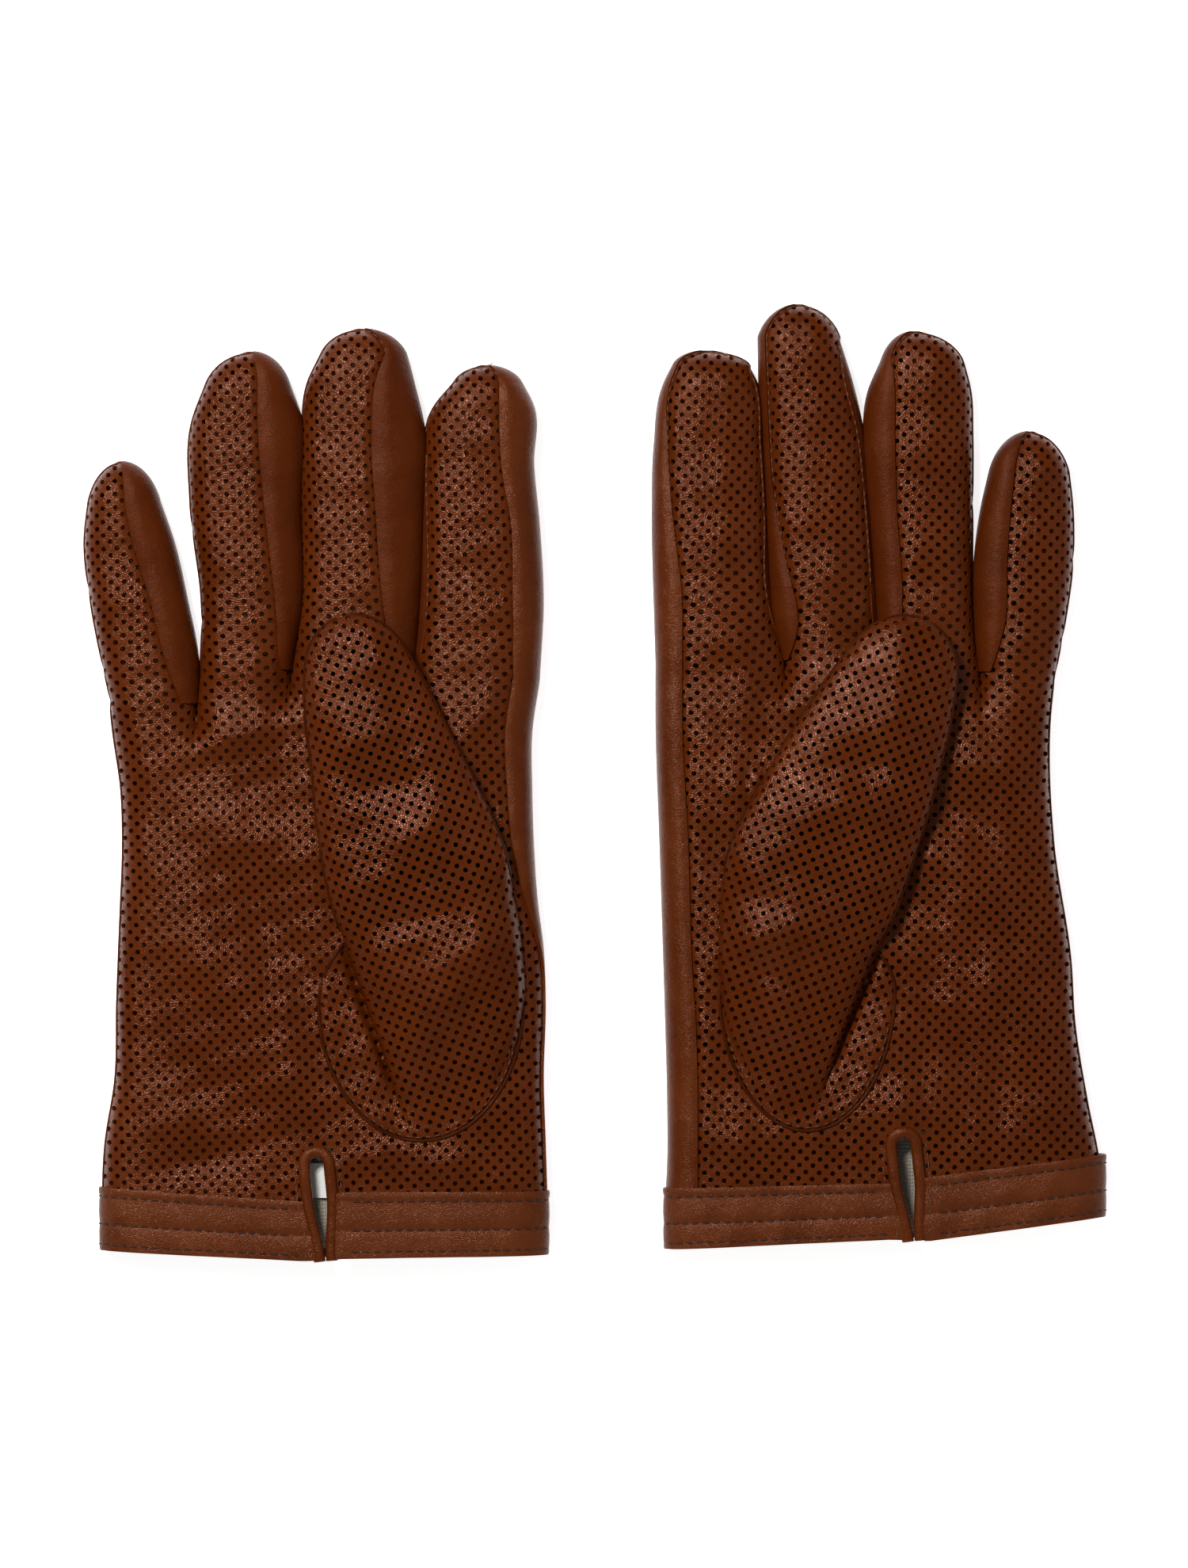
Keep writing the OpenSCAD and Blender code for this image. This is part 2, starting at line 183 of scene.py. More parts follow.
def tubeEdges(part, along):
    # every edge and seam column of a finger or thumb at a distance along it
    rows = np.array(part["rows"], float)
    last = rows[-1, 0]
    tipX, tipY = part["tip"]
    g = tipShrink((along - last) / (tipY - last))
    found = []
    for k in range(1, rows.shape[1]):
        x = smoothCurve(rows[:, 0], rows[:, k], np.minimum(along, last))
        found.append(tipX + (x - tipX) * g)
    return found


def section(f, power=2.6, root=2.0):
    return np.clip(1 - np.abs(np.clip(f, -1, 1))**power, 0, 1)**(1 / root)


def evenBend(tall, power, root):
    # where even steps of leather land across a rounded section, and how much longer it is than flat
    f = 1 - (1 - np.linspace(0, 1, 600))**2.5
    z = tall * section(f, power, root)
    run = np.concatenate([[0], np.cumsum(np.hypot(np.diff(f), np.diff(z)))])
    return run / run[-1], f, run[-1]


fingerBend = evenBend(0.48, 2.6, 2.0)
thumbBend = evenBend(0.3, 2.3, 1.9)


def bulge(s, bend=fingerBend):
    return np.sign(s) * np.interp(np.abs(s), bend[0], bend[1])


def unbulge(g, bend=fingerBend):
    return np.sign(g) * np.interp(np.abs(g), bend[1], bend[0])


def foldHeight(folds, x, y):
    total = np.zeros(np.broadcast(x, y).shape)
    for cx, cy, long, wide, angle, high in folds:
        c = math.cos(math.radians(angle))
        s = math.sin(math.radians(angle))
        a = (x - cx) * c + (y - cy) * s
        b = -(x - cx) * s + (y - cy) * c
        total = total + 2.3 * high * np.exp(-(a / long)**2 - ((b + 0.004 * a * a) / (1.2 * wide))**2)
    return total


def ripple(x, y, flip):
    # slow hide waves, different on the two gloves
    p = 1.3 if flip > 0 else 4.1
    return (0.22 * np.sin(x * 0.21 + y * 0.13 + p) * np.sin(y * 0.17 - x * 0.06 + 2 * p)
            + 0.14 * np.sin(x * 0.43 - y * 0.31 + 3 * p) * np.sin(x * 0.19 + y * 0.37 + p)
            + 0.03 * np.sin(x * 0.9 + y * 0.5 + p) * np.sin(y * 0.8 - x * 0.45))


def shellPoint(glove, x, y, below=False, finger=None):
    # the outer face of the hand part of a glove over a spot of its flat pattern
    x = np.asarray(x, float)
    y = np.asarray(y, float)
    low = palmCurve(glove, 1, y)
    high = palmCurve(glove, 2, y)
    f = (x - (low + high) / 2) / ((high - low) / 2)
    f = np.clip(f, -1, 1)
    palmRise = section(f, 11, 2.0)
    palmX = (low + high) / 2 + (high - low) / 2 * f
    # which finger the spot belongs to
    edges = [tubeEdges(glove["fingers"][n], y) for n in fingerOrder]
    forks = glove["forks"]
    pick = np.zeros(x.shape, int)
    for k in range(3):
        line = np.where(y < forks[k][1], forks[k][0], (edges[k][3] + edges[k + 1][0]) / 2)
        pick = pick + (x > line)
    if finger is not None:
        pick = np.full(x.shape, fingerOrder.index(finger))
    forkY = np.interp(x, [k[0] for k in forks], [k[1] for k in forks])
    fx = np.zeros(x.shape)
    fRise = np.zeros(x.shape)
    fAt = np.zeros(x.shape)
    dip = np.zeros(x.shape)
    for k, name in enumerate(fingerOrder):
        here = pick == k
        part = glove["fingers"][name]
        a = edges[k][0]
        b = edges[k][3]
        if k > 0:
            a = np.where(y < forks[k - 1][1], forks[k - 1][0], a)
        else:
            a = np.where(y < part["rows"][0][0], low, a)
        if k < 3:
            b = np.where(y < forks[k][1], forks[k][0], b)
        else:
            b = np.where(y < part["rows"][0][0], high, b)
        half = np.maximum((b - a) / 2, 0.02)
        g = bulge(np.clip((x - (a + b) / 2) / half, -1, 1))
        end = np.clip((y - part["tip"][1] + 12) / 12, 0, 1)
        droop = np.sqrt(np.clip(1 - end**2.4, 0, 1))
        px = (a + b) / 2 + half * g
        fx = np.where(here, px, fx)
        fRise = np.where(here, section(g) * droop, fRise)
        fAt = np.where(here, g, fAt)
        highSeam = np.where(y < part["rows"][0][0] - 0.01, 999, edges[k][2])
        lowSeam = np.where((y < part["rows"][0][0] + 1) | (edges[k][1] - a < 0.6), 999, edges[k][1])
        gone = np.minimum(np.abs(px - highSeam), np.abs(px - lowSeam))
        dip = np.where(here, np.exp(-(gone / leather["seamWide"])**2), dip)
    w = ease((y - forkY + 14) / 14)
    if finger is not None:
        w = np.ones(x.shape)
    outX = palmX + (fx - palmX) * w
    rise = palmRise + (fRise - palmRise) * w
    quiet = (1 - (f + (fAt - f) * w)**4)
    if below:
        z = leather["waist"] - (leather["waist"] - leather["belly"]) * rise**0.7
        z = z + 0.25 * quiet * (1 + np.sin(outX * 0.2 + y * 0.15)) * ease((y - 5) / 20)
        return np.stack([outX, y + 0 * x, z], -1)
    palmSeam = palmCurve(glove, 3, y)
    away = np.where(high - palmSeam > 0.8, np.abs(outX - palmSeam), 999)
    indexY = glove["fingers"]["index"]["rows"][0][0]
    edgeDip = np.where(y < indexY, np.exp(-(away / leather["seamWide"])**2), 0)
    dip = np.maximum(dip * ease((w - 0.6) / 0.4), edgeDip)
    z = leather["waist"] + (leather["crown"] - leather["waist"]) * rise
    soft = foldHeight(glove["folds"], outX, y) + ripple(outX, y, glove["flip"]) * 1.3
    # knuckle rumples across the fingers
    soft = soft * (1 - 0.45 * w) + w * 0.16 * np.sin(y * 0.33 + outX * 0.08) * np.sin(y * 0.11 + 1)
    z = z + soft * quiet * ease((y - 12) / 14) - leather["seamDip"] * dip * rise
    return np.stack([outX, y + 0 * x, z], -1)


# heights along the thumb: its under side, its sewn edge, and its crown at stops from the root
thumbShape = {"under": 12.2, "edge": 15.6, "crown": [11.0, 13.2, 16.2, 19.2, 20.3, 20.2, 19.6]}


def thumbPoint(glove, u, v, below=False):
    # the outer face of the thumb, u across it and v along it from its hinge
    part = glove["thumb"]
    u = np.asarray(u, float)
    v = np.asarray(v, float)
    a, b = tubeEdges(part, v)
    half = np.maximum((b - a) / 2, 0.02)
    inside = np.abs((u - (a + b) / 2) / half) < 1.0 + 0.08 * ease((v + 12) / 4)
    g = np.clip((u - (a + b) / 2) / half, -1, 1)
    gb = bulge(g, thumbBend)
    lean = math.radians(part["lean"])
    px = np.where(inside, (a + b) / 2 + half * gb, u)
    x = part["hinge"][0] + px * math.cos(lean) - v * math.sin(lean)
    y = part["hinge"][1] + px * math.sin(lean) + v * math.cos(lean)
    end = np.clip((v - part["tip"][1] + 14) / 14, 0, 1)
    droop = np.sqrt(np.clip(1 - end**2.4, 0, 1))
    base = shellPoint(glove, x, y)[..., 2]
    start = part["rows"][0][0]
    lift = ease((v + 13) / 13)
    waist = base * (1 - lift) + thumbShape["edge"] * lift
    top = smoothCurve([start, start + 14, start + 28, start + 46, 0, 35, 62], thumbShape["crown"], v)
    if below:
        z = waist - (waist - thumbShape["under"]) * section(gb, 3.2, 2.4) * droop
        return np.stack([x, y, z], -1)
    soft = foldHeight(glove["thumbFolds"], px, v) + ripple(x + 40, y - 20, glove["flip"]) * 1.3
    rise = section(gb, 2.3, 1.9) * droop
    z = np.where(inside, waist + (np.maximum(top - waist, 0)) * rise + soft * (1 - g**4) * 0.9, base)
    # the rolled seam round the base
    cx, cy, ra, rb = part["oval"]
    down = np.minimum(y - cy, 0) / rb
    gap = (1 - np.sqrt(((x - cx) / ra)**2 + down**2)) * ra
    roll = 0.9 * (1 - np.exp(-np.maximum(gap, 0) / 0.9)) * np.exp(-np.maximum(gap - 1, 0) / 3.5)
    groove = 0.5 * np.exp(-(gap / 0.6)**2)
    z = z + (roll - groove) * (1 - ease((v + 22) / 12))
    # the deep fold where the thumb leans over its low side
    deep = ease((v - start - 10) / 14) * (1 - ease((v + 20) / 16))
    z = z - 2.6 * deep * np.exp(-((u - a + 0.4) / 1.1)**2)
    return np.stack([x, y, z], -1)


def withThickness(point, flat, turn=1):
    # lays a flat hide on a surface, its depth going inward along the surface's own normal
    a, b, depth = flat.T
    e = 0.04
    at = point(a, b)
    du = point(a + e, b) - point(a - e, b)
    dv = point(a, b + e) - point(a, b - e)
    n = np.cross(du, dv) * turn
    n /= np.maximum(np.linalg.norm(n, axis=-1, keepdims=True), 1e-9)
    return at + n * depth[..., None]


materials = {}
leatherTone = {
    "perforated_leather": {"base": (0.072, 0.0118, 0.0008), "light": (0.1, 0.0178, 0.0018), "rough": 0.22,
                           "shine": 0.28, "grain": 0.9, "crease": 0.06},
    "smooth_leather": {"base": (0.068, 0.0115, 0.001), "light": (0.099, 0.0186, 0.0022), "rough": 0.25,
                       "shine": 0.3, "grain": 0.8, "crease": 0.5},
    "fourchette_leather": {"base": (0.061, 0.0098, 0.0008), "light": (0.084, 0.0143, 0.0014), "rough": 0.3,
                           "shine": 0.16, "grain": 0.8, "crease": 0.6},
    "band_leather": {"base": (0.076, 0.0145, 0.002), "light": (0.114, 0.025, 0.0055), "rough": 0.24,
                     "shine": 0.34, "grain": 1.1, "crease": 0.5},
    # seam cords: darker leather as painted shade, standing in for the contact shadow along the thumb's edge
    # and base
    "seam_leather": {"base": (0.034, 0.0055, 0.0005), "light": (0.05, 0.009, 0.001), "rough": 0.4,
                     "shine": 0.12, "grain": 0.6, "crease": 0.3},
}


def newMaterial(name):
    mat = bpy.data.materials.new(name)
    mat.use_nodes = True
    materials[name] = mat
    return mat.node_tree, mat.node_tree.nodes["Principled BSDF"]


def wire(tree, node, inputs):
    # sets each socket to a value, or joins it to another node's output
    for name, value in inputs.items():
        if isinstance(value, bpy.types.NodeSocket):
            tree.links.new(value, node.inputs[name])
        else:
            node.inputs[name].default_value = value


def addNode(tree, kind, inputs, **settings):
    node = tree.nodes.new("ShaderNode" + kind)
    for name, value in settings.items():
        setattr(node, name, value)
    wire(tree, node, inputs)
    return node


def twoTones(tree, amount, dark, pale, start=0.0, end=1.0):
    ramp = addNode(tree, "ValToRGB", {"Fac": amount})
    low, high = ramp.color_ramp.elements
    low.position = start
    low.color = (*dark, 1)
    high.position = end
    high.color = (*pale, 1)
    return ramp.outputs["Color"]


def bumps(tree, height, strength, deep, **under):
    inputs = {"Height": height, "Strength": strength, "Distance": deep}
    return addNode(tree, "Bump", {**inputs, **under}).outputs["Normal"]


def leatherMaterial(name, tone):
    tree, shader = newMaterial(name)
    where = addNode(tree, "TexCoord", {}).outputs["Object"]
    cloud = addNode(tree, "TexNoise", {"Vector": where, "Scale": 70, "Detail": 6, "Roughness": 0.6})
    cloud = cloud.outputs["Fac"]
    # grain cells about half a millimetre wide
    cells = addNode(tree, "TexVoronoi", {"Vector": where, "Scale": 1900}, feature="DISTANCE_TO_EDGE")
    pebble = addNode(tree, "MapRange", {"Value": cells.outputs["Distance"], "From Max": 0.22})
    pores = addNode(tree, "TexNoise", {"Vector": where, "Scale": 900, "Detail": 3})
    crease = addNode(tree, "TexNoise", {"Vector": where, "Scale": 260, "Detail": 8, "Roughness": 0.68,
                                        "Distortion": 0.5})
    fine = bumps(tree, pebble.outputs["Result"], 0.36 * tone["grain"], 0.00012)
    small = bumps(tree, pores.outputs["Fac"], 0.16 * tone["grain"], 0.00025, Normal=fine)
    wide = bumps(tree, crease.outputs["Fac"], tone["crease"], 0.0005, Normal=small)
    sheen = addNode(tree, "MapRange", {"Value": cloud, "To Min": tone["rough"] - 0.02,
                                       "To Max": tone["rough"] + 0.06})
    colour = twoTones(tree, cloud, tone["base"], tone["light"], 0.32, 0.72)
    wire(tree, shader, {"Base Color": colour, "Normal": wide, "Roughness": sheen.outputs["Result"],
                        "Specular IOR Level": tone["shine"], "Specular Tint": (1, 0.53, 0.37, 1)})


def clothMaterial(name, dark, pale, size, rough, deep=0.0003):
    tree, shader = newMaterial(name)
    where = addNode(tree, "TexCoord", {}).outputs["Object"]
    across = addNode(tree, "TexWave", {"Vector": where, "Scale": size, "Distortion": 1.2}).outputs["Fac"]
    along = addNode(tree, "TexWave", {"Vector": where, "Scale": size * 0.8, "Distortion": 1.0},
                    bands_direction="Y").outputs["Fac"]
    knit = addNode(tree, "Math", {0: across, 1: along}, operation="MULTIPLY").outputs["Value"]
    wire(tree, shader, {"Base Color": twoTones(tree, knit, dark, pale), "Roughness": rough,
                        "Normal": bumps(tree, knit, 0.8, deep)})


for toneName, tone in leatherTone.items():
    leatherMaterial(toneName, tone)
clothMaterial("knit_lining", (0.3, 0.27, 0.21), (0.46, 0.42, 0.34), 420, 0.9)
clothMaterial("label_cloth", (0.78, 0.77, 0.72), (0.9, 0.89, 0.85), 800, 0.8, 0.0001)
clothMaterial("thread", (0.012, 0.004, 0.003), (0.035, 0.012, 0.007), 1500, 0.6, 0.0001)
clothMaterial("paleThread", (0.1, 0.028, 0.01), (0.19, 0.07, 0.035), 1500, 0.6, 0.0001)
print("materials made")


def toRow(glove, points):
    px, py = glove["place"]
    out = np.array(points, float)
    out[:, 0] = px + glove["flip"] * out[:, 0]
    out[:, 1] = py + out[:, 1]
    return out / 1000


def addPiece(name, glove, points, faces, material, slot=None, sharp=45):
    mesh = bpy.data.meshes.new(name)
    if glove["flip"] < 0:
        faces = [tuple(reversed(f)) for f in faces]
    mesh.from_pydata(toRow(glove, points).tolist(), [], faces)
    mesh.validate()
    mesh.polygons.foreach_set("use_smooth", [True] * len(mesh.polygons))
    mesh.set_sharp_from_angle(angle=math.radians(sharp))
    mesh.materials.append(materials[material])
    piece = bpy.data.objects.new(name, mesh)
    bpy.context.scene.collection.objects.link(piece)
    return piece


def rides(piece, body, *nodes):
    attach(piece, body)
    for node in nodes:
        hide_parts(node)


def bends(piece, across, *nodes):
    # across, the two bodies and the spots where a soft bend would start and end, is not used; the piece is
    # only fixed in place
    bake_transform(piece)
    for node in nodes:
        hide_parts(node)


def latticeSheet(lowCorner, highCorner, thick, turn=0.0):
    # a flat closed hide with a slanted grid of round holes
    c = math.cos(turn)
    s = math.sin(turn)
    a = np.array(holes["stepA"])
    b = np.array(holes["stepB"])
    a = np.array([a[0] * c - a[1] * s, a[0] * s + a[1] * c])
    b = np.array([b[0] * c - b[1] * s, b[0] * s + b[1] * c])
    # the grid always starts from the pattern's own zero, so neighbours share their holes
    middle = (np.array(lowCorner) + np.array(highCorner)) / 2
    near = np.round(np.linalg.solve(np.stack([a, b], 1), middle)).astype(int)
    reach = int(np.linalg.norm(np.array(highCorner) - np.array(lowCorner)) / 4.2) + 4
    steps = np.arange(-reach, reach + 1)
    i, j = np.meshgrid(near[0] + steps, near[1] + steps, indexing="ij")
    centre = i[..., None] * a + j[..., None] * b
    keep = ((centre[..., 0] > lowCorner[0] - 4) & (centre[..., 0] < highCorner[0] + 4)
            & (centre[..., 1] > lowCorner[1] - 4) & (centre[..., 1] < highCorner[1] + 4))
    ci = i[keep]
    cj = j[keep]
    centre = centre[keep]
    count = len(ci)
    ring = [(-1, -1), (0, -1), (1, -1), (1, 0), (1, 1), (0, 1), (-1, 1), (-1, 0)]
    keys = np.stack([(2 * ci + di + 5000) * 100003 + (2 * cj + dj + 5000) for di, dj in ring], 1)
    unique, spot = np.unique(keys, return_inverse=True)
    spot = spot.reshape(count, 8)
    place = np.zeros((len(unique), 2))
    for k, (di, dj) in enumerate(ring):
        place[spot[:, k]] = centre + di / 2 * a + dj / 2 * b
    around = np.array([math.atan2(di * a[1] + dj * b[1], di * a[0] + dj * b[0]) for di, dj in ring])
    rim = centre[:, None, :] + holes["radius"] * np.stack([np.cos(around), np.sin(around)], -1)[None]
    flat = np.concatenate([place, rim.reshape(-1, 2)])
    total = len(flat)
    points = np.concatenate([np.c_[flat, np.zeros(total)], np.c_[flat, np.full(total, -thick)]])
    rimSpot = len(unique) + np.arange(count * 8).reshape(count, 8)
    o1 = spot
    o2 = np.roll(spot, -1, 1)
    r1 = rimSpot
    r2 = np.roll(rimSpot, -1, 1)
    top = np.stack([o1, o2, r2, r1], -1).reshape(-1, 4)
    bottom = top[:, ::-1] + total
    wall = np.stack([r1, r2, r2 + total, r1 + total], -1).reshape(-1, 4)
    pairs = np.stack([o1, o2], -1).reshape(-1, 2)
    order = np.sort(pairs, 1)
    key = order[:, 0] * total + order[:, 1]
    _, back, counts = np.unique(key, return_inverse=True, return_counts=True)
    lone = pairs[counts[back] == 1]
    side = np.stack([lone[:, 1], lone[:, 0], lone[:, 0] + total, lone[:, 1] + total], -1)
    return points, np.concatenate([top, bottom, wall, side])


def flatMesh(name, points, faces):
    mesh = bpy.data.meshes.new(name)
    faces = faces if isinstance(faces, list) else faces.tolist()
    mesh.from_pydata(np.asarray(points).tolist(), [], faces)
    thing = bpy.data.objects.new(name, mesh)
    bpy.context.scene.collection.objects.link(thing)
    return thing


def cookieCutter(name, outline, tall=3.0):
    n = len(outline)
    outline = np.asarray(outline, float)
    area = np.sum(outline[:, 0] * np.roll(outline[:, 1], -1) - np.roll(outline[:, 0], -1) * outline[:, 1])
    if area < 0:
        outline = outline[::-1]
    points = np.concatenate([np.c_[outline, np.full(n, -tall)], np.c_[outline, np.full(n, tall)]])
    faces = [tuple(reversed(range(n))), tuple(range(n, 2 * n))]
    faces += [(k, (k + 1) % n, n + (k + 1) % n, n + k) for k in range(n)]
    return flatMesh(name, points, faces)


def trim(sheet, cuts):
    # keeps what is inside the first outline, and takes out the others
    for way, outline in cuts:
        tool = cookieCutter("cutter", outline)
        mod = sheet.modifiers.new("cut", "BOOLEAN")
        mod.operation = way
        mod.solver = "MANIFOLD"
        mod.object = tool
        bpy.context.view_layer.update()
        done = bpy.data.meshes.new_from_object(sheet.evaluated_get(bpy.context.evaluated_depsgraph_get()))
        sheet.modifiers.clear()
        sheet.data = done
        bpy.data.objects.remove(tool)
    mesh = sheet.data
    points = np.empty(len(mesh.vertices) * 3)
    mesh.vertices.foreach_get("co", points)
    faces = [tuple(p.vertices) for p in mesh.polygons]
    bpy.data.objects.remove(sheet)
    return points.reshape(-1, 3), faces


def punched(cuts, turn=0.0):
    outline = np.asarray(cuts[0][1])
    points, faces = latticeSheet(outline.min(0), outline.max(0), leather["thick"], turn)
    return trim(flatMesh("hide", points, faces), cuts)


def plainHide(cuts, step=1.6):
    # the same without holes, as an even square net
    outline = np.asarray(cuts[0][1])
    lowX, lowY = outline.min(0) - 1.3
    highX, highY = outline.max(0) + 1.1
    nx = int((highX - lowX) / step) + 2
    ny = int((highY - lowY) / step) + 2
    xs, ys = np.meshgrid(np.linspace(lowX, highX, nx), np.linspace(lowY, highY, ny), indexing="ij")
    flat = np.stack([xs, ys], -1).reshape(-1, 2)
    n = nx * ny
    points = np.concatenate([np.c_[flat, np.zeros(n)], np.c_[flat, np.full(n, -leather["thick"])]])
    ids = np.arange(n).reshape(nx, ny)
    q = np.stack([ids[:-1, :-1], ids[1:, :-1], ids[1:, 1:], ids[:-1, 1:]], -1).reshape(-1, 4)
    rim = np.concatenate([ids[:, 0], ids[-1, 1:], ids[-2::-1, -1], ids[0, -2:0:-1]])
    nxt = np.roll(rim, -1)
    side = np.stack([nxt, rim, rim + n, nxt + n], -1)
    return trim(flatMesh("hide", points, np.concatenate([q, q[:, ::-1] + n, side])), cuts)


def flatX(glove, wantX, y, finger=None):
    # which spot of the flat pattern ends up at a wanted x
    if finger:
        low, _, _, high = edgesAt(glove, finger, y)
    else:
        low = float(palmCurve(glove, 1, float(y)))
        high = float(palmCurve(glove, 2, float(y)))
    xs = np.linspace(low, high, 160)
    got = shellPoint(glove, xs, np.full(160, float(y)), finger=finger)[:, 0]
    return float(np.interp(wantX, got, xs))


def edgesAt(glove, finger, y):
    # a finger's low edge, low seam, high seam and high edge
    return [float(k) for k in tubeEdges(glove["fingers"][finger], np.array(float(y)))]


def frontEdges(glove, finger, y):
    # the two edges of a finger's punched front in the flat pattern
    low, lowSeam, highSeam, _ = edgesAt(glove, finger, y)
    if lowSeam - low < 0.6:
        lowSeam = low
    return flatX(glove, lowSeam, y, finger), flatX(glove, highSeam, y, finger)


def stations(low, high, tip, closeSteps, plainSteps):
    # even rows, or rows that crowd together towards a rounded tip
    if high >= tip - 0.01:
        t = np.linspace(0, 1, closeSteps)
        return low + (tip - 0.06 - low) * np.sin(t * math.pi / 2)**0.9
    return np.linspace(low, high, plainSteps)


def fingerStations(glove, finger, low, high):
    tip = glove["fingers"][finger]["tip"][1] if finger else 999
    return stations(low, high, tip, 34, max(int((high - low) / 2), 4))


def fingerOutline(glove, finger, low, high):
    ys = fingerStations(glove, finger, low, high)
    edges = [frontEdges(glove, finger, y) for y in ys]
    left = [(a, y) for (a, _), y in zip(edges, ys)]
    right = [(b, y) for (_, b), y in zip(edges, ys)]
    return right + left[::-1]


def shellStrip(rings, thick, closed=False):
    # a skin with thickness through rings of points, its outside away from the middle
    p = np.asarray(rings, float)
    r, c, _ = p.shape
    du = np.gradient(p, axis=0)
    dv = np.gradient(p, axis=1)
    if closed:
        dv = (np.roll(p, -1, 1) - np.roll(p, 1, 1)) / 2
    n = np.cross(du, dv)
    n /= np.maximum(np.linalg.norm(n, axis=-1, keepdims=True), 1e-9)
    inner = p - n * thick
    points = np.concatenate([p.reshape(-1, 3), inner.reshape(-1, 3)])
    ids = np.arange(r * c).reshape(r, c)
    if closed:
        ids = np.c_[ids, ids[:, :1]]
    m = r * c
    q = np.stack([ids[:-1, :-1], ids[1:, :-1], ids[1:, 1:], ids[:-1, 1:]], -1).reshape(-1, 4)
    faces = [q, q[:, ::-1] + m]
    if closed:
        loops = [(ids[0], False), (ids[-1], True)]
    else:
        loops = [(np.concatenate([ids[:, 0], ids[-1, 1:], ids[-2::-1, -1], ids[0, -2::-1]]), True)]
    for loop, other in loops:
        a = loop[:-1]
        b = loop[1:]
        if other:
            a, b = b, a
        faces.append(np.stack([a, b, b + m, a + m], -1))
    return points, np.concatenate(faces).tolist()


def outlineAngle(f):
    return math.asin(max(-1, min(1, f)))


def roundPoint(glove, angle, y, finger=None):
    # the shell at an angle round its section: 0 on top, a quarter turn at the high edge
    if finger:
        a, _, _, b = tubeEdges(glove["fingers"][finger], y)
    else:
        a = palmCurve(glove, 1, y)
        b = palmCurve(glove, 2, y)
    g = np.sin(angle)
    # undo the rounding so that the asked place is the real place
    if finger:
        x = (a + b) / 2 + (b - a) / 2 * np.clip(unbulge(g), -1, 1)
    else:
        many = np.linspace(float(a[0]), float(b[0]), 400)
        got = shellPoint(glove, many, np.full(400, float(y[0])))[:, 0]
        x = np.interp((a + b) / 2 + (b - a) / 2 * g, got, many)
    top = shellPoint(glove, x, y, finger=finger)
    under = shellPoint(glove, x, y, below=True, finger=finger)
    return np.where((np.cos(angle) >= 0)[..., None], top, under)


def tubeStrip(glove, finger, low, high, startAngle, endAngle, steps):
    # a strip of smooth leather between two angles, the first may vary with y
    rows = []
    for y in fingerStations(glove, finger, low, high):
        a = startAngle(y) if callable(startAngle) else startAngle
        angle = a + (endAngle - a) * np.linspace(0, 1, steps)
        rows.append(roundPoint(glove, angle, np.full(steps, y), finger))
    return shellStrip(np.array(rows), leather["thick"])


def seamAngle(glove, finger, column):
    def at(y):
        edges = edgesAt(glove, finger, y)
        half = max((edges[3] - edges[0]) / 2, 0.02)
        return outlineAngle((edges[column] - (edges[0] + edges[3]) / 2) / half)
    return at


def joined(parts):
    points = []
    faces = []
    n = 0
    for p, f in parts:
        points.append(np.asarray(p))
        faces += [tuple(k + n for k in face) for face in f]
        n += len(p)
    return np.concatenate(points), faces


def tubeFaces(count, sides):
    # the walls and end caps of a tube given as rings of points
    faces = [tuple(range(sides - 1, -1, -1)), tuple((count - 1) * sides + k for k in range(sides))]
    for a in range(0, (count - 1) * sides, sides):
        b = a + sides
        faces += [(a + k, a + (k + 1) % sides, b + (k + 1) % sides, b + k) for k in range(sides)]
    return faces


def stitches(path, length=2.2, gap=0.9, radius=0.2, sink=0.05):
    # a row of short thread lozenges along a line of points
    path = np.asarray(path, float)
    seg = np.linalg.norm(np.diff(path, axis=0), axis=1)
    along = np.concatenate([[0], np.cumsum(seg)])
    made = []
    at = gap
    while at + length < along[-1]:
        a = np.array([np.interp(at, along, path[:, k]) for k in range(3)])
        b = np.array([np.interp(at + length, along, path[:, k]) for k in range(3)])
        d = (b - a) / np.linalg.norm(b - a)
        side = np.cross(d, (0, 0, 1))
        side /= max(np.linalg.norm(side), 1e-6)
        up = np.cross(side, d)
        ring = []
        for t, r in ((0.0, 0.35), (0.2, 0.9), (0.5, 1.0), (0.8, 0.9), (1.0, 0.35)):
            c = a + (b - a) * t + up * (radius * 0.7 * (1 - (2 * t - 1)**2) - sink)
            for k in range(6):
                w = math.pi * k / 3
                ring.append(c + (side * math.cos(w) + up * math.sin(w)) * radius * r)
        made.append((np.array(ring), tubeFaces(5, 6)))
        at += length + gap
    return joined(made)


def seamCord(path, radius, lift=0.0, sides=8):
    # a thin rolled seam along a line of points
    path = np.asarray(path, float)
    keep = np.concatenate([[True], np.linalg.norm(np.diff(path, axis=0), axis=1) > 0.05])
    path = path[keep]
    way = np.gradient(path, axis=0)
    way /= np.maximum(np.linalg.norm(way, axis=1, keepdims=True), 1e-9)
    side = np.cross(way, (0, 0, 1.0))
    side /= np.maximum(np.linalg.norm(side, axis=1, keepdims=True), 1e-9)
    up = np.cross(side, way)
    n = len(path)
    slim = np.minimum(1, 0.35 + 0.5 * np.minimum(np.arange(n), n - 1 - np.arange(n)))[:, None]
    rings = []
    for k in range(sides):
        t = 2 * math.pi * k / sides
        rings.append(path + up * lift + (side * math.cos(t) + up * math.sin(t)) * radius * slim)
    return np.stack(rings, 1).reshape(-1, 3), tubeFaces(n, sides)


def fingerSeamLine(glove, finger, low, high, column):
    line = []
    for y in fingerStations(glove, finger, low, high):
        x = frontEdges(glove, finger, y)[column - 1]
        line.append(shellPoint(glove, np.array(x), np.array(float(y)), finger=finger))
    return np.array(line)


def fingerSeam(glove, name, low, high, column):
    return seamCord(fingerSeamLine(glove, name, low, high, column), seam["radius"], seam["sink"])


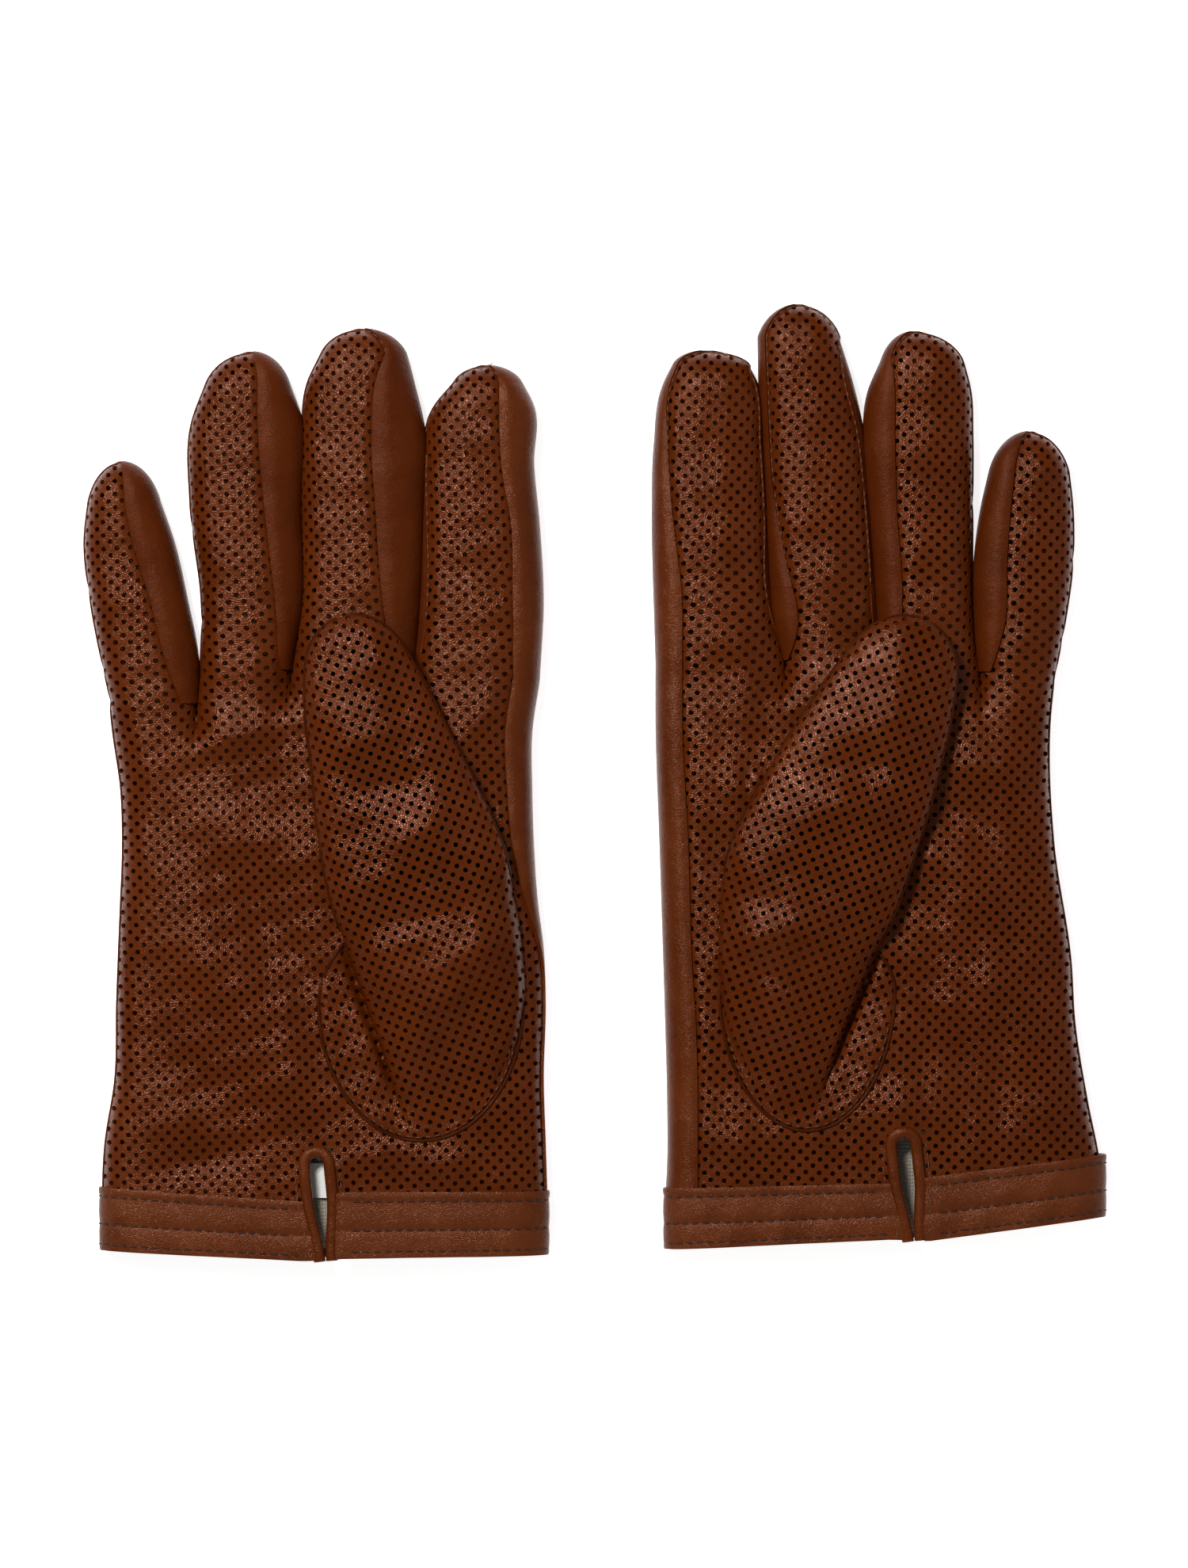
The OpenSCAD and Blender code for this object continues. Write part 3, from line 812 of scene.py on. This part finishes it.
def spot(glove, x, y, z=0.0):
    px, py = glove["place"]
    return ((px + glove["flip"] * x) / 1000, (py + y) / 1000, z / 1000)


def rootSpan(glove, k):
    # where a finger's low and high sides start, and where its bending part begins
    part = glove["fingers"][fingerOrder[k]]
    first = part["rows"][0][0]
    lowY = glove["forks"][k - 1][1] if k else first
    highY = glove["forks"][k][1] if k < 3 else first
    return lowY, highY, part["bends"][0] - bend["rootGap"]


def handOutline(glove, back=False):
    # the hand with its finger roots in one piece
    startY, endY, rows, steps = (8, 3.5, 7, 45) if back else (9.5, 9.5, 9, 60)
    path = [(float(palmCurve(glove, 1, y)), y) for y in np.linspace(startY, rootSpan(glove, 0)[0] - 2, 45)]
    for k, finger in enumerate(fingerOrder):
        lowY, highY, top = rootSpan(glove, k)
        sides = [np.linspace(lowY + 0.8, top, rows), np.linspace(top, highY + 0.8, rows)]
        for column, ys in enumerate(sides):
            for y in ys:
                x = edgesAt(glove, finger, y)[3 * column] if back else frontEdges(glove, finger, y)[column]
                path.append((x, y))
        if k < 3:
            path.append(glove["forks"][k])
    for y in np.linspace(rootSpan(glove, 3)[1] - 2, endY, steps):
        x = float(palmCurve(glove, 2 if back else 3, y))
        path.append((x if back else flatX(glove, x, y), y))
    return path


def thumbFlat(glove, x, y):
    # glove pattern to thumb pattern
    part = glove["thumb"]
    lean = math.radians(part["lean"])
    dx = x - part["hinge"][0]
    dy = y - part["hinge"][1]
    return dx * math.cos(lean) + dy * math.sin(lean), -dx * math.sin(lean) + dy * math.cos(lean)


def thumbRow(glove, u, v):
    part = glove["thumb"]
    lean = math.radians(part["lean"])
    return (part["hinge"][0] + u * math.cos(lean) - v * math.sin(lean),
            part["hinge"][1] + u * math.sin(lean) + v * math.cos(lean))


def ovalOutline(glove, grow=0.0):
    # the sewn oval at the root of the thumb, cut off just below the hinge
    part = glove["thumb"]
    cx, cy, ra, rb = part["oval"]
    v = -10
    a, b = [float(k) for k in tubeEdges(part, np.array(float(v)))]
    left = thumbRow(glove, a - 0.3 - grow, v)
    right = thumbRow(glove, b + grow, v)
    path = [right]
    for k in range(49):
        t = -math.pi * k / 48
        path.append((cx + (ra + grow) * math.cos(t), cy + (rb + grow) * math.sin(t)))
    for t in np.linspace(0, 1, 11)[1:]:
        path.append((cx - ra - grow + (left[0] - cx + ra + grow) * t**1.8, cy + (left[1] - cy) * t))
    return path


def ventOutline(glove, half):
    part = glove["vent"]
    slant = math.radians(part["slant"])
    fx, fy = part["foot"]
    across = np.array([math.cos(slant), math.sin(slant)])
    up = np.array([-math.sin(slant), math.cos(slant)])
    foot = np.array([fx, fy]) - up * 4
    path = [foot - across * half]
    topY = part["length"] - 5 + 4
    for k in range(13):
        t = math.pi - math.pi * k / 12
        path.append(foot + up * topY + (across * math.cos(t) + up * math.sin(t)) * half)
    path.append(foot + across * half)
    return [tuple(p) for p in path]


def makePalm(side):
    glove = gloves[side]
    body = side + "_palm"
    indexY = glove["fingers"]["index"]["rows"][0][0]

    def top(a, b):
        return shellPoint(glove, a, b)

    def under(a, b):
        return shellPoint(glove, a, b, below=True)

    def edgeSeam(y):
        low, high, sewn = [float(palmCurve(glove, k, y)) for k in (1, 2, 3)]
        return outlineAngle((min(sewn, high - 0.05) - (low + high) / 2) / ((high - low) / 2))

    flat, faces = punched([("INTERSECT", handOutline(glove)), ("DIFFERENCE", ovalOutline(glove, -0.2)),
                           ("DIFFERENCE", ventOutline(glove, 2.6))])
    piece = addPiece(side + "PalmFront", glove, withThickness(top, flat), faces, "perforated_leather")
    rides(piece, body, side + "_palm_front")
    flat, faces = plainHide([("INTERSECT", handOutline(glove, back=True))], 2.0)
    faces = [tuple(reversed(f)) for f in faces]
    piece = addPiece(side + "PalmBack", glove, withThickness(under, flat, -1), faces, "smooth_leather")
    rides(piece, body, side + "_palm_back")
    # smooth edge strip on the index side
    strip = tubeStrip(glove, None, 12.5, indexY, edgeSeam, math.pi - 1.3, 14)
    root = tubeStrip(glove, "index", indexY, rootSpan(glove, 3)[2], seamAngle(glove, "index", 2),
                     math.pi - sideStop, 12)
    rides(addPiece(side + "IndexEdge", glove, *joined([strip, root]), "smooth_leather"), body)
    # smooth leather down in the three forks, and the seams of the hand
    parts = []
    for k in range(3):
        forkY = glove["forks"][k][1] + 0.3
        lowName, highName = fingerOrder[k:k + 2]
        parts.append(tubeStrip(glove, lowName, forkY, rootSpan(glove, k)[2], seamAngle(glove, lowName, 2),
                               math.pi - sideStop, 12))
        parts.append(tubeStrip(glove, highName, forkY, rootSpan(glove, k + 1)[2],
                               seamAngle(glove, highName, 1), -math.pi + sideStop, 10))
    for k, name in enumerate(fingerOrder):
        lowY, highY, end = rootSpan(glove, k)
        parts.append(fingerSeam(glove, name, lowY + 0.5, end, 1))
        parts.append(fingerSeam(glove, name, highY + 0.5, end, 2))
    ys = np.linspace(glove["band"]["little"][0][1] + 3, rootSpan(glove, 0)[0] + 1, 60)
    parts.append(seamCord(shellPoint(glove, palmCurve(glove, 1, ys), ys), seam["radius"], 0.0))
    ys = np.linspace(12.5 if side == "left" else 80.0, indexY, 70)
    spots = [(flatX(glove, x, y), y) for x, y in zip(palmCurve(glove, 3, ys), ys)]
    line = [shellPoint(glove, np.array(x), np.array(y)) for x, y in spots]
    parts.append(seamCord(line, seam["radius"], seam["sink"]))
    piece = addPiece(side + "ForkGussets", glove, *joined(parts), "fourchette_leather")
    rides(piece, body, side + "_fork_gussets")


def makeFinger(side, name):
    glove = gloves[side]
    part = glove["fingers"][name]
    bendA, bendB = part["bends"]
    middle = (bendA + bendB) / 2
    centre = float(np.mean(edgesAt(glove, name, bendA)[0::3]))
    body = side + "_" + name
    spans = [("Lower", bendA - bend["rootGap"], middle, side + "_palm", body + "_middle", bendA),
             ("Upper", middle, part["tip"][1], body + "_middle", body + "_end", bendB)]

    def spread(y):
        # the leather round a finger is wider than the finger looks from above
        return 1 + (fingerBend[2] - 1) * ease((y - bendA + 10) / 22)

    def top(a, b):
        return shellPoint(glove, centre + (a - centre) / spread(b), b, finger=name)

    for level, low, high, bodyA, bodyB, hinge in spans:
        across = (bodyA, bodyB, spot(glove, centre, hinge - bend["reach"], 10),
                  spot(glove, centre, hinge + bend["reach"], 10))
        tag = side + name.capitalize() + level
        isLower = level == "Lower"
        outline = np.array(fingerOutline(glove, name, low, high))
        outline[:, 0] = centre + (outline[:, 0] - centre) * spread(outline[:, 1])
        flat, faces = punched([("INTERSECT", outline)])
        piece = addPiece(tag + "Front", glove, withThickness(top, flat), faces, "perforated_leather")
        bends(piece, across, body + ("_front" if isLower else "_tip"))
        # only the outer sides of the first and last finger are cut in one with the back
        highSide = tubeStrip(glove, name, low, high, seamAngle(glove, name, 2), math.pi - sideStop, 14)
        lowSide = tubeStrip(glove, name, low, high, seamAngle(glove, name, 1), -math.pi + sideStop, 12)
        backParts = [tubeStrip(glove, name, low, high, math.pi - sideStop, math.pi + sideStop, 14)]
        sideParts = []
        (backParts if name == "index" else sideParts).append(highSide)
        (backParts if name == "little" else sideParts).append(lowSide)
        sideParts += [fingerSeam(glove, name, low, high, column) for column in (2, 1)]
        piece = addPiece(tag + "Back", glove, *joined(backParts), "smooth_leather")
        bends(piece, across, *([body + "_back"] if isLower else []))
        ticks = []
        for column in (1, 2):
            if part["rows"][1][2 * column] != part["rows"][1][2 * column - 1]:
                line = fingerSeamLine(glove, name, low, high, column) + np.array([0, 0, seam["dashLift"]])
                ticks.append(stitches(line, 1.3, 1.2, 0.23))
        piece = addPiece(tag + "Thread", glove, *joined(ticks), "paleThread", "fourchette_leather")
        bends(piece, across)
        piece = addPiece(tag + "Sides", glove, *joined(sideParts), "fourchette_leather")
        bends(piece, across, body + ("_fourchettes" if isLower else "_tip_fourchettes"))


def thumbStations(glove, low, high):
    return stations(low, high, glove["thumb"]["tip"][1], 36, 14)


def thumbOutline(glove, low, high):
    vs = thumbStations(glove, low, high)
    a, b = tubeEdges(glove["thumb"], vs)
    return list(zip(b, vs)) + list(zip(a, vs))[::-1]


def makeThumb(side):
    glove = gloves[side]
    part = glove["thumb"]
    bendA, bendB = part["bends"]
    middle = (bendA + bendB) / 2
    body = side + "_thumb"
    spread = thumbBend[2]
    turn = math.radians(1 if side == "right" else -6)

    def top(a, b):
        return thumbPoint(glove, a / spread, b)

    def under(a, b):
        return thumbPoint(glove, a / spread, b, below=True)

    def hide(outline):
        return punched([("INTERSECT", [(u * spread, v) for u, v in outline])], turn)

    # the sewn-in base rides on the palm
    flat, faces = hide([thumbFlat(glove, x, y) for x, y in ovalOutline(glove, 0.25)])
    piece = addPiece(side + "ThumbBase", glove, withThickness(top, flat), faces, "perforated_leather")
    rides(piece, side + "_palm", side + "_thumb_base")
    spans = [("Lower", -10.0, middle, side + "_palm", body + "_middle", bendA, "_thumb"),
             ("Upper", middle, part["tip"][1], body + "_middle", body + "_end", bendB, "_thumb_tip")]
    for level, low, high, bodyA, bodyB, hinge, node in spans:
        across = (bodyA, bodyB, spot(glove, *thumbRow(glove, 0, hinge - bend["reach"]), 16),
                  spot(glove, *thumbRow(glove, 0, hinge + bend["reach"]), 16))
        flat, faces = hide(thumbOutline(glove, low, high))
        piece = addPiece(side + "Thumb" + level, glove, withThickness(top, flat), faces, "perforated_leather")
        bends(piece, across, side + node)
        flat, faces = hide(thumbOutline(glove, max(low, -6), high))
        faces = [tuple(reversed(f)) for f in faces]
        piece = addPiece(side + "ThumbUnder" + level, glove, withThickness(under, flat, -1), faces,
                         "perforated_leather")
        bends(piece, across)
        # the sewn edge that closes front and under side, its darker leather a painted contact shade along the
        # thumb's edge
        vs = thumbStations(glove, max(low, -7), high)
        sides = [seamCord(thumbPoint(glove, us, vs), 0.45, -0.1) for us in tubeEdges(part, vs)]
        piece = addPiece(side + "ThumbSeam" + level, glove, *joined(sides), "seam_leather",
                         "fourchette_leather")
        bends(piece, across)
    # base seam in the same darker leather, painted shade where the thumb meets the palm
    ring = np.array(ovalOutline(glove, 0.0)[1:])
    line = shellPoint(glove, ring[:, 0], ring[:, 1])
    piece = addPiece(side + "ThumbBaseSeam", glove, *seamCord(line, 0.5, -0.1), "seam_leather",
                     "fourchette_leather")
    rides(piece, side + "_palm")
    ring = np.array(ovalOutline(glove, -1.0)[6:-14])
    u, v = thumbFlat(glove, ring[:, 0], ring[:, 1])
    line = thumbPoint(glove, u, v) + np.array([0, 0, 0.1])
    piece = addPiece(side + "ThumbBaseStitching", glove, *stitches(line, 1.3, 1.2, 0.2), "paleThread",
                     "fourchette_leather")
    rides(piece, side + "_palm")


vent = {"wide": 1.55, "tall": 1.35, "hemGap": 1.6, "topGap": 3.3}
cuff = {"proud": 0.7, "rows": (0.86, 0.42, 0.1)}


def bandPoint(glove, angle, t, proud):
    # t runs from the hem, 0, to the top fold, 1
    band = glove["band"]
    stops = np.array(band["little"] + band["thumb"], float)
    low = palmCurve(glove, 1, 10.0)
    high = palmCurve(glove, 2, 10.0)
    x = (low + high) / 2 + (high - low) / 2 * np.sin(angle)
    hem = np.interp(x, stops[:, 0], stops[:, 1])
    fold = np.interp(x, stops[:, 0], stops[:, 2])
    y = hem + (fold - hem) * t
    f = np.sin(angle)
    rise = section(f, 11, 2.0)
    up = leather["waist"] + (leather["crown"] - leather["waist"]) * rise + proud
    down = leather["waist"] - (leather["waist"] - leather["belly"]) * rise**0.7 - proud * 0.3
    wave = 0.25 * np.sin(x * 0.16 + 1) + 0.12 * np.sin(x * 0.5 + y * 0.3)
    z = np.where(np.cos(angle) >= 0, up + wave * rise, np.maximum(down, 0.05))
    return np.stack([x + np.sign(f) * proud * np.abs(f)**30, y, z], -1)


def makeCuff(side):
    glove = gloves[side]
    band = glove["band"]
    low = float(palmCurve(glove, 1, 10.0))
    high = float(palmCurve(glove, 2, 10.0))
    fLow = (band["little"][1][0] - (low + high) / 2) / ((high - low) / 2)
    fHigh = (band["thumb"][0][0] - (low + high) / 2) / ((high - low) / 2)
    start = outlineAngle(fHigh)
    end = math.pi * 2 + outlineAngle(fLow)
    # even steps along x with more at the two turned edges
    angles = np.concatenate([np.linspace(start, 1.25, 36), np.linspace(1.25, math.pi - 1.25, 16)[1:],
                             np.linspace(math.pi - 1.25, math.pi + 1.25, 60)[1:],
                             np.linspace(math.pi + 1.25, 2 * math.pi - 1.25, 16)[1:],
                             np.linspace(2 * math.pi - 1.25, end, 36)[1:]])
    profile = [(0, -0.5), (0.0, 0.25), (0.05, 0.45), (0.1, 0.35), (0.14, 0.5), (0.3, 0.55), (0.4, 0.42),
               (0.42, 0.25), (0.44, 0.42), (0.6, 0.58), (0.8, 0.5), (0.86, 0.3), (0.9, 0.55), (0.96, 0.7),
               (1.0, 0.5), (1.0, -0.3)]
    rows = []
    slant = math.tan(math.radians(glove["vent"]["slant"]))
    footX = glove["vent"]["foot"][0]

    def ends(t):
        # the band's two ends run along the welt
        gap = vent["hemGap"] + (vent["topGap"] - vent["hemGap"]) * float(ease(t)) + 1.0
        y = t * 17
        one = ((footX - slant * y + gap) - (low + high) / 2) / ((high - low) / 2)
        two = ((footX - slant * y - gap) - (low + high) / 2) / ((high - low) / 2)
        return outlineAngle(one), math.pi * 2 + outlineAngle(two)

    for t, lift in profile:
        first, last = ends(t)
        fit = first + (angles - start) * (last - first) / (end - start)
        rows.append(bandPoint(glove, fit, np.full(len(angles), t), cuff["proud"] + lift * 0.8))
    points, faces = shellStrip(np.array(rows)[::-1], 0.7)
    piece = addPiece(side + "CuffBand", glove, points, faces, "band_leather", sharp=60)
    rides(piece, side + "_palm", side + "_cuff_band")
    sewn = []
    for t in cuff["rows"]:
        first, last = ends(t)
        for a, b in ((first + 0.06, math.pi * 0.5), (math.pi * 1.5, last - 0.06)):
            run = np.linspace(a, b, 80)
            sewn.append(stitches(bandPoint(glove, run, np.full(80, t), cuff["proud"] + 0.42), 1.9, 0.9, 0.2))
    piece = addPiece(side + "CuffStitching", glove, *joined(sewn), "thread", "band_leather")
    rides(piece, side + "_palm")


def makeVent(side):
    glove = gloves[side]
    part = glove["vent"]
    slant = math.radians(part["slant"])
    foot = np.array(part["foot"])
    across = np.array([math.cos(slant), math.sin(slant)])
    up = np.array([-math.sin(slant), math.cos(slant)])
    straight = part["length"] - 4.6
    path = []
    for t in np.linspace(0, 1, 22):
        gap = vent["hemGap"] + (vent["topGap"] - vent["hemGap"]) * ease(t * 1.5)
        path.append((-gap, t * straight))
    for k in range(1, 12):
        a = math.pi - math.pi * k / 12
        path.append((vent["topGap"] * math.cos(a), straight + vent["topGap"] * math.sin(a)))
    path += [(-p, q) for p, q in path[:22][::-1]]
    rings = []
    path = np.array(path)
    way = np.gradient(path, axis=0)
    way /= np.linalg.norm(way, axis=1, keepdims=True)
    for (p, q), (dp, dq) in zip(path, way):
        here = foot + across * p + up * q
        z = float(shellPoint(glove, here[0], max(here[1], 14))[2])
        z = max(z, 10.4) - 0.1
        nx, ny = (across * dq - up * dp)
        ring = []
        for k in range(14):
            t = 2 * math.pi * k / 14
            c = math.cos(t)
            s = math.sin(t)
            w = math.copysign(abs(c)**0.8, c) * vent["wide"]
            high = math.copysign(abs(s)**0.85, s) * vent["tall"]
            ring.append((here[0] + nx * w, here[1] + ny * w, z + high))
        rings.append(ring)
    faces = tubeFaces(len(rings), 14)
    piece = addPiece(side + "VentWelt", glove, np.array(rings).reshape(-1, 3), faces, "smooth_leather")
    rides(piece, side + "_palm", side + "_vent_binding")
    sewn = []
    for sign in (-1, 1):
        line = []
        for t in np.linspace(0.02, 1.05, 40):
            gap = vent["hemGap"] + (vent["topGap"] - vent["hemGap"]) * ease(t * 1.5) + 2.5
            here = foot + across * gap * sign + up * t * straight
            z = float(shellPoint(glove, here[0], max(here[1], 19))[2]) + (0.95 if here[1] < 16 else 0.1)
            line.append((here[0], here[1], z))
        sewn.append(stitches(line, 1.7, 0.8, 0.2))
    piece = addPiece(side + "VentStitching", glove, *joined(sewn), "paleThread", "smooth_leather")
    rides(piece, side + "_palm")
    # knitted lining: a facing round the mouth and a tongue under the slit
    angles = np.linspace(0, 2 * math.pi, 121)[:-1]
    rows = []
    for t in np.linspace(0.7, 0.16, 8):
        p = bandPoint(glove, angles, np.full(120, t), -1.9)
        p[:, 1] += 0.4 * np.sin(angles * 5)
        rows.append(p)
    ring = shellStrip(np.array(rows), 0.5, closed=True)
    keep = []
    for f in ring[1]:
        x = ring[0][list(f)]
        inSlit = np.all(np.abs(x[:, 0] - part["foot"][0]) < 5) and np.mean(x[:, 2]) > 5
        if not inSlit:
            keep.append(f)
    xs = np.linspace(part["foot"][0] - 4.4, part["foot"][0] + 3.6, 14) - math.tan(slant) * 8
    rows = [[(x, y, 5.4 + 0.3 * math.sin(x * 0.5 + y * 0.2)) for x in xs] for y in np.linspace(2.5, 29, 30)]
    tongue = shellStrip(np.array(rows)[::-1], 0.5)
    piece = addPiece(side + "Lining", glove, *joined([(ring[0], keep), tongue]), "knit_lining")
    rides(piece, side + "_palm", side + "_lining")
    if side == "right":
        rows = [[(x, y, 6.8 + 0.25 * math.sin(x * 0.4)) for x in np.linspace(-6.5, 3.5, 10)]
                for y in np.linspace(15.5, 24.5, 8)]
        points, faces = shellStrip(np.array(rows)[::-1], 0.35)
        piece = addPiece("rightLabel", glove, points, faces, "label_cloth")
        rides(piece, "right_palm", "right_label")


# finger, then the spots each loose end runs through
looseEnds = [("index", [(41.2, 229.6, 8.4), (42, 230.8, 7.6), (43, 231.6, 7.4), (44, 232.4, 7.8)]),
             ("index", [(41, 229.6, 8.4), (40.6, 230.6, 7.6), (39.4, 231.2, 7.4)]),
             ("middle", [(12.4, 239, 8), (13, 240, 7.2), (14.2, 240.4, 7)])]


def makeLooseEnds():
    glove = gloves["right"]
    for k, (name, line) in enumerate(looseEnds):
        piece = addPiece("rightThreadEnd" + str(k + 1), glove, *seamCord(line, 0.16), "paleThread",
                         "fourchette_leather")
        rides(piece, "right_" + name + "_end")


for side in ("right", "left"):
    makePalm(side)
    print(side, "palm made")
    for name in fingerOrder:
        makeFinger(side, name)
    print(side, "fingers made")
    makeThumb(side)
    makeCuff(side)
    makeVent(side)
    print(side, "thumb, cuff and vent made")
makeLooseEnds()

# studio: white table, one soft key, two gentle fills
studio = {"tableLevel": -0.0005, "tableSize": 6.0, "key": 22, "fill": 2.0, "sky": 0.14, "tableGlow": 0.8,
          "lensHeight": 1.7014}
table = bpy.data.meshes.new("table")
h = studio["tableSize"] / 2
table.from_pydata([(-h, -h, 0), (h, -h, 0), (h, h, 0), (-h, h, 0)], [], [(0, 1, 2, 3)])
tableTop = bpy.data.objects.new("table", table)
tableTop.location = (0, 0, studio["tableLevel"])
bpy.context.scene.collection.objects.link(tableTop)
tree, paint = newMaterial("tableWhite")
wire(tree, paint, {"Base Color": (0.9, 0.9, 0.9, 1), "Roughness": 0.9, "Emission Color": (1, 1, 1, 1),
                   "Emission Strength": studio["tableGlow"]})
table.materials.append(materials["tableWhite"])


def softLight(name, spotAt, size, power):
    data = bpy.data.lights.new(name, "AREA")
    data.shape = "RECTANGLE"
    data.size = size[0]
    data.size_y = size[1]
    data.energy = power
    lamp = bpy.data.objects.new(name, data)
    lamp.location = spotAt
    lamp.rotation_euler = (Vector((0, 0, 0)) - Vector(spotAt)).to_track_quat("-Z", "Y").to_euler()
    bpy.context.scene.collection.objects.link(lamp)


softLight("keyLight", (-0.52, 0.62, 1.22), (0.38, 0.3), studio["key"])
softLight("fillRight", (1.1, 0.1, 1.1), (0.8, 0.8), studio["fill"])
softLight("fillLow", (-0.2, -1.2, 1.0), (0.9, 0.6), studio["fill"])
world = bpy.data.worlds.new("studioSky")
world.use_nodes = True
wire(world.node_tree, world.node_tree.nodes["Background"], {"Color": (1, 1, 1, 1), "Strength": studio["sky"]})
bpy.context.scene.world = world
bpy.context.scene.view_settings.view_transform = "Standard"

lens = bpy.data.cameras.new("camera")
lens.lens = 150
camera = bpy.data.objects.new("camera", lens)
camera.location = (0, 0, studio["lensHeight"])
bpy.context.scene.collection.objects.link(camera)
bpy.context.scene.camera = camera
print("studio ready")
